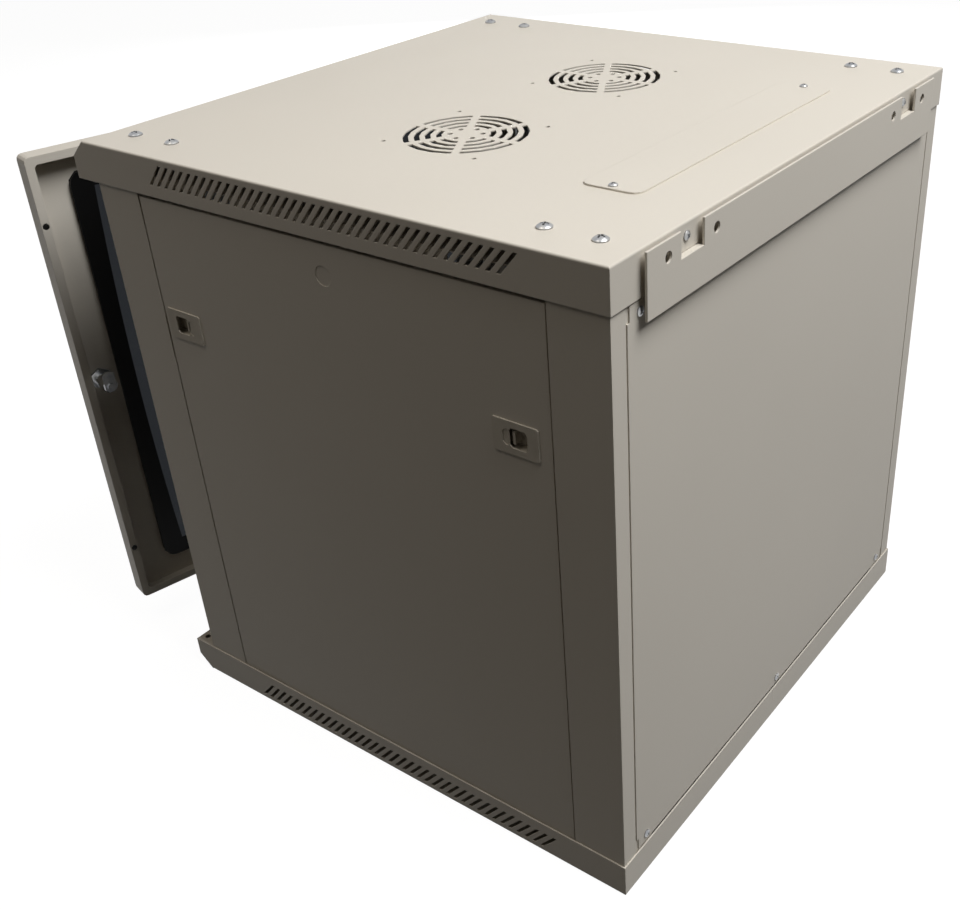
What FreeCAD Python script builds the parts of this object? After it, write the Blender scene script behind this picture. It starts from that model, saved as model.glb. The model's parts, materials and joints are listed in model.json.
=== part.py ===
"""Wall mount network cabinet, 12 units high, for 19-inch equipment.

A folded top and bottom cover are screwed to four corner posts and four side rails.
The side panels tip out on the bottom skirt once their sliding latches are drawn back,
the glass door turns on two pins, and a bracket hooked into the back hangs on the wall.

X runs to the right seen from the front, the front faces -Y and Z points up.
The origin is the middle of the underside of the base. Lengths are in millimetres.
"""
import FreeCAD
import Part
import math
import os
from types import SimpleNamespace

import Sketcher

DIMENSIONS = {
    # overall
    "cabinet_width": 600.0,
    "cabinet_height": 635.0,
    "body_depth": 588.0,          # back to where the front nose starts
    "nose_reach": 18.0,           # how far the nose stands forward of the body
    "nose_drop": 16.0,            # height of the slope at the top of the nose
    "skirt_height": 37.5,
    "cover_sheet": 1.5,
    "frame_sheet": 1.5,
    "panel_sheet": 1.2,
    "bend_radius": 1.8,           # outside of the visible folds
    "fit_gap": 0.3,               # between pieces that only lie beside each other
    "overcut": 1.0,               # how far a cut runs past the sheet on each side
    # slanted vents in the skirts of both covers
    "vent_pitch": 10.17,
    "vent_first": 79.5,           # back face to the top of the rearmost vent
    "vent_front_margin": 88.0,    # plain skirt kept in front of the vents
    "vent_rise": 19.5,
    "vent_run": 17.0,             # how far the slant moves along the skirt
    "vent_width": 4.2,            # along the skirt
    "vent_edge": 6.5,             # from the outer face of the cover
    # fan grilles in the top cover
    "fan_spacing": 220.0,
    "fan_from_back": 285.0,
    "fan_hole_spacing": 105.0,
    "fan_hole": 4.4,
    "grille_radius": 57.0,
    "ring_pitch": 10.0,
    "ring_slot": 5.0,
    "ring_bridge": 7.0,
    "dot_circle": 30.0,           # ring of six small holes inside the slots
    "dot": 5.2,
    # cable entry and its cover plate
    "entry_from_back": 88.0,
    "entry_width": 310.0,
    "entry_depth": 38.0,
    "plate_overlap_sides": 17.0,  # plate past the opening
    "plate_overlap_ends": 9.0,
    "plate_corner": 9.0,
    "plate_sheet": 1.5,
    "plate_screw_inset": 7.0,
    # corner posts
    "post_setback": 10.0,         # front of the post behind the start of the nose
    "post_width": 56.0,
    "post_return": 14.0,
    "post_flange": 36.0,
    "post_lip": 14.0,
    "back_flange": 19.0,
    "back_ledge": 29.0,
    "foot_depth": 40.0,
    # screws through the covers
    "cover_screw_inset": 38.0,
    "post_screw_rear": 33.0,
    "post_screw_front": 20.0,     # behind the front of the post
    "rail_screw_rear": 83.0,
    "rail_screw_front": 72.0,     # behind the front of the post
    "cover_screw": 6.0,
    "cover_screw_head": 13.0,
    "cover_screw_rise": 3.8,
    "sunk_head": 11.6,
    "sunk_below": 0.1,            # head below the surface
    # side rails
    "rail_setback": 0.8,          # top rails, behind the inner face of the skirt
    "base_rail_setback": 6.0,     # bottom rails, behind the lips of the side panels
    "rail_level": 18.0,           # from the outer face of the cover
    "rail_web": 16.5,
    "web_rear": 150.0,            # back face to the rear end of the web
    "web_gap_start": 393.0,       # back face to the gap in the web
    "web_gap": 34.0,
    "slot_edge": 8.0,             # rail flange inside the depth slot
    "foot_length": 30.0,
    "foot_web_inset": 28.0,
    "foot_tab": 22.0,
    "depth_slot": 6.6,
    "depth_slot_length": 150.0,
    "depth_slot_margin": 25.0,    # slot past the bolt, towards the post
    # 19-inch equipment rails
    "unit_height": 44.45,
    "rack_hole_spacing": 465.1,
    "rack_opening": 450.0,
    "rack_hole": 9.5,
    "rack_hole_pitch": 15.875,
    "rack_sheet": 2.0,
    "rack_flange": 20.0,
    "rack_web": 38.0,
    "rack_tab": 25.0,
    "rack_tab_depth": 30.0,
    "rack_tab_inset": 5.0,
    "front_rack_from_back": 500.0,
    "rear_rack_from_back": 150.0,
    "rack_bolt": 6.0,
    "rack_bolt_head": 12.0,
    "rack_bolt_rise": 3.6,
    "rack_bolt_past_nut": 1.0,
    "rack_nut_width": 10.0,
    "rack_nut_rise": 5.0,
    # side panels
    "panel_gap": 0.5,             # sideways, between panel and skirt
    "panel_slit": 1.5,            # beside the panel
    "panel_top_slit": 3.5,        # above the panel
    "panel_bend": 1.0,
    "panel_lip": 8.5,             # how far it reaches down behind the bottom skirt
    "panel_fold": 12.0,
    "lock_knockout": 18.0,
    "knockout_drop": 32.5,        # below the top of the panel opening
    "knockout_depth": 0.6,
    # side panel latches
    "latch_length": 46.0,
    "latch_height": 30.0,
    "latch_level": 470.0,
    "latch_inset_front": 5.0,     # from the front edge of the panel
    "latch_inset_rear": 12.5,     # from its rear edge
    "latch_plate": 1.4,
    "latch_corner": 1.5,
    "latch_margin": 3.0,          # plate outside the case
    "latch_window": 18.0,
    "latch_window_height": 18.0,
    "latch_window_inset": 11.0,
    "scoop_width": 7.0,           # shallow dish for the fingertip, beside the window
    "scoop_depth": 0.8,
    "latch_depth": 11.0,
    "latch_wall": 1.2,
    "bolt_sheet": 2.5,
    "bolt_height": 14.0,
    "bolt_length": 45.5,
    "bolt_throw": 10.0,
    "bolt_slot_gap": 1.0,         # round a bolt in the slots of the posts and folds
    "thumb_sheet": 2.5,
    "thumb_gap": 3.0,             # from the end of the window when the bolt is out
    "thumb_inset": 1.0,           # narrower than the bolt on each side
    # back panel
    "back_slit": 2.0,
    "back_notch": 3.0,
    "back_corner": 13.0,
    "back_screw": 4.0,
    "back_screw_head": 8.0,
    "back_screw_rise": 2.6,
    "back_screw_level": 10.5,     # inside the panel opening
    "back_screw_inset": 39.0,
    "back_screw_length": 8.0,
    "brace_height": 24.0,
    "brace_depth": 14.0,
    # wall bracket
    "bracket_width": 525.0,
    "bracket_height": 53.5,
    "bracket_top": 1.5,           # below the top face
    "bracket_standoff": 4.0,
    "bracket_sheet": 2.0,
    "hook_spacing": 400.0,
    "hook_width": 33.0,
    "hook_notch": 21.5,
    "hook_slot": 3.2,
    "hook_upstand": 18.0,
    "bracket_screw": 4.0,
    "bracket_screw_head": 8.0,
    "bracket_screw_rise": 2.6,
    "bracket_screw_level": 11.0,
    "bracket_screw_length": 4.5,
    "wall_hole": 9.0,
    "wall_hole_inner": 330.0,
    "wall_hole_outer": 468.0,
    "wall_hole_level": 15.0,
    # glass door, measured from its hinge line
    "door_angle": 13.5,
    "hinge_inset": 10.0,
    "hinge_setback": 8.0,         # behind the front of the nose
    "hinge_pin": 6.0,
    "pin_past_lip": 1.0,
    "hinge_clearance": 0.05,
    "door_side_gap": 1.0,
    "door_gap": 3.5,              # above and below the door
    "door_front_gap": 1.0,        # behind the front of the nose
    "door_thickness": 22.0,
    "door_sheet": 1.2,
    "door_corner": 6.0,
    "door_lip": 9.0,
    "lip_hole": 7.0,
    "lip_hole_level": 73.0,
    "glass_border_side": 44.0,
    "glass_border_ends": 29.0,
    "glass_sheet": 4.0,
    "glass_corner": 16.0,
    "glass_overlap": 12.0,
    "tape_inset": 1.0,            # inside the edge of the glass
    "tape_width": 9.0,
    "tape_sheet": 1.0,
    "hinge_pin_hole": 6.2,        # in the edges of the door tray
    "hinge_block": 16.0,
    "hinge_block_height": 22.0,
    # door lock
    "lock_inset": 24.0,           # from the free edge of the door
    "lock_level": 330.0,
    "lock_body": 16.0,
    "lock_flange": 22.0,
    "lock_flange_rise": 2.5,
    "lock_length": 29.0,
    "lock_plug": 10.0,
    "lock_spigot": 6.0,
    "key_slot": 1.8,
    "key_slot_length": 7.0,
    "key_slot_depth": 5.0,
    "lock_nut_width": 22.0,
    "lock_nut_rise": 3.0,
    "cam_sheet": 2.0,
    "cam_width": 13.0,
    "cam_reach": 18.0,
    "cam_corner": 3.5,
    "cam_slot_width": 18.0,
    "cam_slot_height": 52.0,
    "cam_screw_head": 8.0,
    "cam_screw_rise": 2.2,
    "washer": 13.0,
    "washer_gap": 0.15,
}
HOLE_SIDES = 8                    # holes and shanks that a head hides
ROUND_SIDES = 24                  # visible round pieces that nothing turns in
SMALL_ROUND_SIDES = 16
BEND_STEPS = 3                    # flats round a bend
SUNK_TAPER = -45                  # degrees, the side of a countersink


class Size:
    """A length that knows its value and the sheet expression that gives it."""

    def __init__(self, value, text):
        self.value = float(value)
        self.text = text

    @staticmethod
    def of(number):
        return number if isinstance(number, Size) else Size(number, repr(float(number)))

    def __add__(self, other):
        other = Size.of(other)
        return Size(self.value + other.value, f"({self.text} + {other.text})")

    def __sub__(self, other):
        other = Size.of(other)
        return Size(self.value - other.value, f"({self.text} - {other.text})")

    def __mul__(self, other):
        other = Size.of(other)
        return Size(self.value * other.value, f"({self.text} * {other.text})")

    def __truediv__(self, other):
        other = Size.of(other)
        return Size(self.value / other.value, f"({self.text} / {other.text})")

    def __radd__(self, other):
        return Size.of(other) + self

    def __rsub__(self, other):
        return Size.of(other) - self

    def __rmul__(self, other):
        return Size.of(other) * self

    def __neg__(self):
        return Size.of(0) - self

    def whole(self):
        """The whole number below this size."""
        return Size(math.floor(self.value), f"floor({self.text})")


def lesser(first, second):
    """The smaller of two sizes."""
    return Size(min(first.value, second.value), f"min({first.text}; {second.text})")


doc = FreeCAD.newDocument("NetworkCabinet")
sheet = doc.addObject("Spreadsheet::Sheet", "Dimensions")
for row, (alias, number) in enumerate(DIMENSIONS.items(), start=1):
    sheet.set(f"A{row}", alias)
    sheet.set(f"B{row}", str(number))
    sheet.setAlias(f"B{row}", alias)
doc.recompute()

d = SimpleNamespace(**{name: Size(number, f"Dimensions.{name}") for name, number in DIMENSIONS.items()})
nodes = []


# ---------------------------------------------------------------- drawing helpers

def bind(item, path, size):
    """Drive one property of an object from the sheet."""
    item.setExpression(path, Size.of(size).text)


def constrain(sketch, rules):
    """Add constraints to a sketch, and bind those that have a size to the sheet."""
    constraints = []
    for kind, targets, size in rules:
        value = [] if size is None else [Size.of(size).value]
        constraints.append(Sketcher.Constraint(kind, *targets, *value))
    first = sketch.ConstraintCount
    sketch.addConstraint(constraints)
    for index, (_, _, size) in enumerate(rules, start=first):
        if size is not None:
            bind(sketch, f"Constraints[{index}]", size)


class Polygon:
    """A closed outline of straight edges through the given corners."""

    def __init__(self, corners):
        self.corners = [(Size.of(x), Size.of(y)) for x, y in corners]

    def draw(self, sketch):
        points = [FreeCAD.Vector(x.value, y.value, 0) for x, y in self.corners]
        edges = [Part.LineSegment(a, b) for a, b in zip(points, points[1:] + points[:1])]
        first = sketch.GeometryCount
        sketch.addGeometry(edges, False)
        rules = []
        for step, (x, y) in enumerate(self.corners):
            edge = first + step
            following = first + (step + 1) % len(edges)
            rules += [("Coincident", (edge, 2, following, 1), None),
                      ("DistanceX", (-1, 1, edge, 1), x), ("DistanceY", (-1, 1, edge, 1), y)]
        constrain(sketch, rules)


class Rectangle(Polygon):
    """A rectangle between two values of each sketch axis."""

    def __init__(self, x_low, x_high, y_low, y_high):
        super().__init__([(x_low, y_low), (x_high, y_low), (x_high, y_high), (x_low, y_high)])


class RoundedRectangle:
    """A rectangle with the same radius at its four corners."""

    def __init__(self, x_low, x_high, y_low, y_high, radius):
        self.limits = [Size.of(size) for size in (x_low, x_high, y_low, y_high)]
        self.radius = Size.of(radius)

    def draw(self, sketch):
        x_low, x_high, y_low, y_high = (limit.value for limit in self.limits)
        radius = self.radius.value
        first = sketch.GeometryCount
        corners = [(x_low, y_low), (x_high, y_low), (x_high, y_high), (x_low, y_high)]
        inward = [(1, 1), (-1, 1), (-1, -1), (1, -1)]
        along = [(1, 0), (0, 1), (-1, 0), (0, -1)]
        for step in range(4):
            (x, y), (end_x, end_y), (run_x, run_y) = corners[step], corners[(step + 1) % 4], along[step]
            sketch.addGeometry(Part.LineSegment(
                FreeCAD.Vector(x + run_x * radius, y + run_y * radius, 0),
                FreeCAD.Vector(end_x - run_x * radius, end_y - run_y * radius, 0)), False)
        for step in range(4):
            (x, y), (in_x, in_y) = corners[step], inward[step]
            circle = Part.Circle(FreeCAD.Vector(x + in_x * radius, y + in_y * radius, 0),
                                 FreeCAD.Vector(0, 0, 1), radius)
            start = math.pi + step * math.pi / 2
            sketch.addGeometry(Part.ArcOfCircle(circle, start, start + math.pi / 2), False)
        rules = []
        for step in range(4):
            line, arc, previous = first + step, first + 4 + step, first + (step + 3) % 4
            rules += [("Tangent", (previous, 2, arc, 1), None), ("Tangent", (arc, 2, line, 1), None),
                      ("Vertical" if step % 2 else "Horizontal", (line,), None)]
        rules += [("Equal", (first + 4, first + 4 + step), None) for step in range(1, 4)]
        rules += [("Radius", (first + 4,), self.radius),
                  ("DistanceX", (-1, 1, first + 3, 1), self.limits[0]),
                  ("DistanceX", (-1, 1, first + 1, 1), self.limits[1]),
                  ("DistanceY", (-1, 1, first, 1), self.limits[2]),
                  ("DistanceY", (-1, 1, first + 2, 1), self.limits[3])]
        constrain(sketch, rules)


class Circle:
    """A circle given by its centre and diameter."""

    def __init__(self, x, y, diameter):
        self.x, self.y, self.diameter = Size.of(x), Size.of(y), Size.of(diameter)

    def draw(self, sketch):
        centre = FreeCAD.Vector(self.x.value, self.y.value, 0)
        outline = Part.Circle(centre, FreeCAD.Vector(0, 0, 1), self.diameter.value / 2)
        circle = sketch.addGeometry(outline, False)
        constrain(sketch, [("Diameter", (circle,), self.diameter),
                           ("DistanceX", (-1, 1, circle, 3), self.x),
                           ("DistanceY", (-1, 1, circle, 3), self.y)])


class ChamferedRectangle(Polygon):
    """A rectangle with its four corners cut off."""

    def __init__(self, x_low, x_high, y_low, y_high, chamfer):
        super().__init__([
            (x_low + chamfer, y_low), (x_high - chamfer, y_low), (x_high, y_low + chamfer),
            (x_high, y_high - chamfer), (x_high - chamfer, y_high), (x_low + chamfer, y_high),
            (x_low, y_high - chamfer), (x_low, y_low + chamfer)])


class EasedRectangle(Polygon):
    """A rectangle whose corners are rounded in a few flats, to keep its facets few."""

    def __init__(self, x_low, x_high, y_low, y_high, radius):
        corners = []
        for x, y, way_x, way_y in ((x_low, y_low, 1, 1), (x_high, y_low, -1, 1),
                                   (x_high, y_high, -1, -1), (x_low, y_high, 1, -1)):
            arc = rounded_corner(x, y, radius, way_x, way_y)
            corners += arc if way_x != way_y else arc[::-1]
        super().__init__(corners)


def rounded_corner(x, y, radius, way_x, way_y):
    """Points round a corner, from its x side to its y side; the ways point inward."""
    angles = [step * math.pi / 2 / BEND_STEPS for step in range(BEND_STEPS + 1)]
    return [(x + radius * (way_x * round(1 - math.sin(angle), 9)),
             y + radius * (way_y * round(1 - math.cos(angle), 9))) for angle in angles]


class Sided(Polygon):
    """A regular polygon, given by its width across flats, with a flat on the sketch's x side."""

    def __init__(self, x, y, width, sides):
        reach = Size.of(width) / 2 / math.cos(math.pi / sides)
        angles = [(step + 0.5) * 2 * math.pi / sides for step in range(sides)]
        super().__init__([(x + reach * round(math.cos(angle), 9), y + reach * round(math.sin(angle), 9))
                          for angle in angles])


def hidden_hole(x, y, width):
    """A hole under a head or round a shank: eight-sided, to keep its facets few."""
    return Sided(x, y, width, HOLE_SIDES)


def shank(x, y, width):
    """The outline of a six-sided shank whose corners lie on the full diameter."""
    return Sided(x, y, Size.of(width) * math.cos(math.pi / 6), 6)


def outside_of_bend(x, y, radius, way_x, way_y):
    """The sliver that a bend takes off the sharp corner at (x, y); the ways point into the sheet."""
    outside = [(x - radius * way_x, y + radius * way_y), (x - radius * way_x, y - radius * way_y),
               (x + radius * way_x, y - radius * way_y)]
    return Polygon(rounded_corner(x, y, radius, way_x, way_y) + outside)


def new_body(label, keep=True):
    """Start a body; kept bodies are the cabinet's own pieces."""
    body = doc.addObject("PartDesign::Body", label)
    body.Label = label
    body.AllowCompound = True
    if keep:
        nodes.append(body)
    return body


PLANES = {"X": "YZ_Plane", "Y": "XZ_Plane", "Z": "XY_Plane"}


def new_sketch(body, axis, start, loops):
    """Draw loops on the plane square to an axis: (Y, Z) on X, (X, Z) on Y and (X, Y) on Z."""
    sketch = body.newObject("Sketcher::SketchObject", "Outline")
    plane = [item for item in body.Origin.OriginFeatures if item.Role == PLANES[axis]][0]
    sketch.AttachmentSupport = [(plane, "")]
    sketch.MapMode = "FlatFace"
    offset = -Size.of(start) if axis == "Y" else Size.of(start)
    bind(sketch, ".AttachmentOffset.Base.z", offset)
    for loop in loops:
        loop.draw(sketch)
    return sketch


def extrude(body, axis, start, length, loops, cut=False, taper=None):
    """Pad or cut the loops from start, towards the positive end of the axis."""
    sketch = new_sketch(body, axis, start, loops)
    feature = body.newObject("PartDesign::Pocket" if cut else "PartDesign::Pad", "Cut" if cut else "Sheet")
    feature.Profile = sketch
    bind(feature, "Length", length)
    feature.Reversed = (axis == "Y") != cut
    if taper is not None:
        feature.TaperAngle = taper
    sketch.Visibility = False
    return feature


def punch(body, axis, start, thickness, loops):
    """Cut the loops through a sheet that begins at start."""
    return extrude(body, axis, start - d.overcut, thickness + d.overcut * 2, loops, cut=True)


def repeat(body, feature, axis, spacing, count):
    """Repeat a feature along an axis of the body."""
    pattern = body.newObject("PartDesign::LinearPattern", "Row")
    pattern.Originals = [feature]
    line = [item for item in body.Origin.OriginFeatures if item.Role == f"{axis}_Axis"][0]
    pattern.Direction = (line, [""])
    bind(pattern, "Length", spacing * (Size.of(count) - 1))
    bind(pattern, "Occurrences", count)
    body.Tip = pattern
    return pattern


def folded(path, thickness):
    """The outline of a sheet folded along a path of outer corners, its thickness to the left of the path.

    Each run is parallel to a sketch axis.
    """
    path = [(Size.of(x), Size.of(y)) for x, y in path]
    turns = []
    for (x, y), (next_x, next_y) in zip(path, path[1:]):
        run_x, run_y = next_x.value - x.value, next_y.value - y.value
        if abs(run_x) > abs(run_y):
            turns.append((0, math.copysign(1, run_x)))
        else:
            turns.append((-math.copysign(1, run_y), 0))
    inner = []
    for step, (x, y) in enumerate(path):
        sides = turns[max(step - 1, 0):step + 1]
        shift_x = sum(side[0] for side in sides)
        shift_y = sum(side[1] for side in sides)
        inner.append((x + thickness * shift_x if shift_x else x, y + thickness * shift_y if shift_y else y))
    return Polygon(path + inner[::-1])


# ---------------------------------------------------------------- shared places

cover_depth = d.body_depth + d.nose_reach
inner_width = d.cabinet_width / 2 - d.cover_sheet
post_front = d.body_depth - d.post_setback
post_inner = post_front - d.post_width
rear_post_edge = d.cover_sheet + d.post_width
hinge_from_back = cover_depth - d.hinge_setback
panel_face = inner_width - d.panel_gap
bolt_face = panel_face - d.latch_depth + d.latch_wall + d.fit_gap + d.bolt_sheet
rack_bolt_x = d.rack_opening / 2 + d.rack_flange + d.rack_tab / 2
front_rack_bolt = d.front_rack_from_back - d.rack_tab_inset - d.rack_tab_depth / 2
rear_rack_bolt = d.rear_rack_from_back + d.rack_tab_inset + d.rack_tab_depth / 2
plate_width = d.entry_width + d.plate_overlap_sides * 2
plate_depth = d.entry_depth + d.plate_overlap_ends * 2
vent_room = d.body_depth - d.vent_first - d.vent_run - d.vent_width - d.vent_front_margin
vent_count = (vent_room / d.vent_pitch).whole() + 1
unit_count = ((d.cabinet_height - d.skirt_height * 2) / d.unit_height).whole()


def from_back(distance):
    """The Y place of a distance measured forward from the back face."""
    return cover_depth / 2 - distance


def level(distance, top):
    """The Z place of a distance inward from the top face or from the underside."""
    return d.cabinet_height - distance if top else Size.of(distance)


def span(first, second):
    """Two places in rising order."""
    return (first, second) if first.value < second.value else (second, first)


cover_screw_places = [
    (side * (d.cabinet_width / 2 - d.cover_screw_inset), from_back(distance))
    for side in (1, -1)
    for distance in (d.post_screw_rear, d.rail_screw_rear,
                     post_front - d.rail_screw_front, post_front - d.post_screw_front)]
plate_screw_places = [(side * (plate_width / 2 - d.plate_screw_inset), from_back(d.entry_from_back))
                      for side in (1, -1)]


# ---------------------------------------------------------------- covers

def cover(label, top, keep):
    """A folded cover: flat sheet, four skirts, and the sloped nose over or under the door."""
    body = new_body(label, keep)
    half = d.cabinet_width / 2
    outer = Polygon([
        (from_back(0), level(d.skirt_height, top)), (from_back(0), level(0, top)),
        (from_back(d.body_depth), level(0, top)), (from_back(cover_depth), level(d.nose_drop, top)),
        (from_back(cover_depth), level(d.skirt_height, top))])
    extrude(body, "X", -half, d.cabinet_width, [outer])
    slope_run = d.cover_sheet * (d.nose_reach.value / math.hypot(d.nose_reach.value, d.nose_drop.value))
    below = level(d.skirt_height + d.overcut, top)
    hollow = Polygon([
        (from_back(d.cover_sheet), below), (from_back(d.cover_sheet), level(d.cover_sheet, top)),
        (from_back(d.body_depth - slope_run / 2), level(d.cover_sheet, top)),
        (from_back(cover_depth - d.cover_sheet), level(d.nose_drop + slope_run / 2, top)),
        (from_back(cover_depth - d.cover_sheet), level(d.skirt_height - d.cover_sheet, top)),
        (from_back(post_front + d.fit_gap), level(d.skirt_height - d.cover_sheet, top)),
        (from_back(post_front + d.fit_gap), below)])
    extrude(body, "X", -inner_width, inner_width * 2, [hollow], cut=True)
    cover_bends(body, top)
    cover_vents(body, top)
    cover_holes(body, top)
    return body


def cover_bends(body, top):
    """Round the folds between the flat sheet and its back and side skirts."""
    half = d.cabinet_width / 2
    way = -1 if top else 1
    back = outside_of_bend(from_back(0), level(0, top), d.bend_radius, -1, way)
    extrude(body, "X", -half - d.overcut, d.cabinet_width + d.overcut * 2, [back], cut=True)
    sides = [outside_of_bend(side * half, level(0, top), d.bend_radius, -side, way) for side in (1, -1)]
    extrude(body, "Y", from_back(d.body_depth), d.body_depth + d.overcut, sides, cut=True)


def cover_vents(body, top):
    """A row of slanted vents through both side skirts."""
    half = d.cabinet_width / 2
    low, high = span(level(d.vent_edge + d.vent_rise, top), level(d.vent_edge, top))
    rear = from_back(d.vent_first)
    slant = Polygon([(rear, high), (rear - d.vent_width, high),
                     (rear - d.vent_width - d.vent_run, low), (rear - d.vent_run, low)])
    vent = extrude(body, "X", -half - d.overcut, d.cabinet_width + d.overcut * 2, [slant], cut=True)
    row = repeat(body, vent, "Y", d.vent_pitch, vent_count)
    row.Reversed = True


def cover_holes(body, top):
    """The cable entry, and the holes for screws and hinge pins."""
    entry_y = from_back(d.entry_from_back)
    entry = Rectangle(-d.entry_width / 2, d.entry_width / 2,
                      entry_y - d.entry_depth / 2, entry_y + d.entry_depth / 2)
    start, _ = span(level(0, top), level(d.cover_sheet, top))
    plate_holes = [hidden_hole(x, y, d.back_screw + d.fit_gap * 2) for x, y in plate_screw_places]
    punch(body, "Z", start, d.cover_sheet, [entry] + plate_holes)
    if top:
        holes = [hidden_hole(x, y, d.cover_screw + d.fit_gap * 2) for x, y in cover_screw_places]
        punch(body, "Z", start, d.cover_sheet, holes)
        back_slots(body)
    else:
        holes = [hidden_hole(x, y, d.sunk_head + d.fit_gap * 2) for x, y in cover_screw_places]
        extrude(body, "Z", 0, d.cover_sheet * 2, holes, cut=True, taper=SUNK_TAPER)
    lip_start, _ = span(level(d.skirt_height, top), level(d.skirt_height - d.cover_sheet, top))
    pins = [hidden_hole(side * (d.cabinet_width / 2 - d.hinge_inset), from_back(hinge_from_back),
                        d.hinge_pin + d.hinge_clearance * 2) for side in (1, -1)]
    punch(body, "Z", lip_start, d.cover_sheet, pins)


def back_slots(body):
    """Slots in the back skirt for the bracket's hooks, and the bracket screw holes."""
    slot_top = d.cabinet_height - d.bracket_top - d.hook_notch + d.fit_gap
    slots = [Rectangle(side * d.hook_spacing / 2 - d.hook_width / 2 - d.fit_gap,
                       side * d.hook_spacing / 2 + d.hook_width / 2 + d.fit_gap,
                       slot_top - d.hook_slot, slot_top) for side in (1, -1)]
    screw_z = d.cabinet_height - d.bracket_screw_level
    holes = [hidden_hole(side * d.hook_spacing / 2, screw_z, d.bracket_screw + d.fit_gap) for side in (1, -1)]
    punch(body, "Y", from_back(d.cover_sheet), d.cover_sheet, slots + holes)


def fan_grille_cutter():
    """Four broken rings, six small holes and four fan screw holes, as the solid that a punch takes out."""
    body = new_body("fan_punch", keep=False)
    centre = (d.fan_spacing / 2, from_back(d.fan_from_back))
    start, depth = d.cabinet_height - d.cover_sheet - d.overcut, d.cover_sheet + d.overcut * 2
    for ring, sides in enumerate((24, 24, 16, 16)):
        outer = d.grille_radius - d.ring_pitch * ring
        loops = [Sided(0, 0, outer * 2, sides), Sided(0, 0, (outer - d.ring_slot) * 2, sides)]
        move_to(centre, extrude(body, "Z", start, depth, loops))
    reach = d.grille_radius + d.overcut
    bridge = extrude(body, "Z", start - d.overcut, depth + d.overcut * 2,
                     [Rectangle(-d.ring_bridge / 2, d.ring_bridge / 2, -reach, reach)], cut=True)
    move_to(centre, bridge)
    pattern = body.newObject("PartDesign::PolarPattern", "Bridges")
    pattern.Originals = [bridge]
    pattern.Axis = (bridge.Profile[0], ["N_Axis"])
    pattern.Angle = 120
    pattern.Occurrences = 3
    body.Tip = pattern
    half = d.fan_hole_spacing / 2
    corners = [Circle(i * half, j * half, d.fan_hole) for i in (1, -1) for j in (1, -1)]
    turns = [step * math.pi / 3 for step in range(6)]
    dots = [Sided(d.dot_circle / 2 * round(math.cos(turn), 9), d.dot_circle / 2 * round(math.sin(turn), 9),
                  d.dot, HOLE_SIDES) for turn in turns]
    move_to(centre, extrude(body, "Z", start, depth, corners + dots))
    return body


def move_to(centre, feature):
    """Draw a feature's outline round another point of its plane."""
    for axis, size in zip("xy", centre):
        bind(feature.Profile[0], f".AttachmentOffset.Base.{axis}", size)


def top_cover():
    """The top cover, punched with two fan grilles."""
    blank = cover("top_cover_blank", True, keep=False)
    right = fan_grille_cutter()
    left = doc.addObject("Part::Mirroring", "fan_punch_left")
    left.Source = right
    left.Normal = FreeCAD.Vector(1, 0, 0)
    first = doc.addObject("Part::Cut", "right_grille_cut")
    first.Base, first.Tool = blank, right
    second = doc.addObject("Part::Cut", "top_cover")
    second.Label = "top_cover"
    second.Base, second.Tool = first, left
    nodes.append(second)


def entry_plate(label, top):
    """The cover plate of a cable entry: on the top cover, and inside the bottom one."""
    body = new_body(label)
    y = from_back(d.entry_from_back)
    start = d.cabinet_height if top else d.cover_sheet
    outline = EasedRectangle(-plate_width / 2, plate_width / 2, y - plate_depth / 2,
                             y + plate_depth / 2, d.plate_corner)
    extrude(body, "Z", start, d.plate_sheet, [outline])
    holes = [hidden_hole(hole_x, hole_y, d.back_screw + d.fit_gap) for hole_x, hole_y in plate_screw_places]
    punch(body, "Z", start, d.plate_sheet, holes)


# ---------------------------------------------------------------- frame

def post_foot(body, side, rear, top):
    """The plate inside the end of a post that the cover screw goes through."""
    start, _ = span(level(d.cover_sheet, top), level(d.cover_sheet + d.frame_sheet, top))
    outer = side * (inner_width - d.frame_sheet / 2)
    inner = side * (inner_width - d.post_flange - d.post_return)
    if rear:
        low, high = from_back(rear_post_edge - d.frame_sheet), from_back(d.cover_sheet + d.frame_sheet / 2)
    else:
        low, high = from_back(post_front - d.frame_sheet / 2), from_back(post_front - d.foot_depth)
    extrude(body, "Z", start, d.frame_sheet, [Rectangle(*span(outer, inner), low, high)])
    distance = d.post_screw_rear if rear else post_front - d.post_screw_front
    x, y = side * (d.cabinet_width / 2 - d.cover_screw_inset), from_back(distance)
    screw_holes(body, [(x, y)], top)


def screw_holes(body, places, top):
    """Holes for the cover screws through a foot: plain ones at the top, countersunk ones at the base."""
    holes = [hidden_hole(x, y, d.cover_screw + d.fit_gap * 2) for x, y in places]
    if top:
        punch(body, "Z", d.cabinet_height - d.cover_sheet - d.frame_sheet, d.frame_sheet, holes)
    else:
        through = d.cover_sheet + d.frame_sheet + d.overcut
        cones = [hidden_hole(x, y, d.sunk_head + d.fit_gap * 2) for x, y in places]
        extrude(body, "Z", 0, through, cones, cut=True, taper=SUNK_TAPER)
        extrude(body, "Z", 0, through, holes, cut=True)


def turned(path, side):
    """A path drawn for the right side, moved to either side with its sheet still inside."""
    return path if side > 0 else [(-x, y) for x, y in path][::-1]


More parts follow.
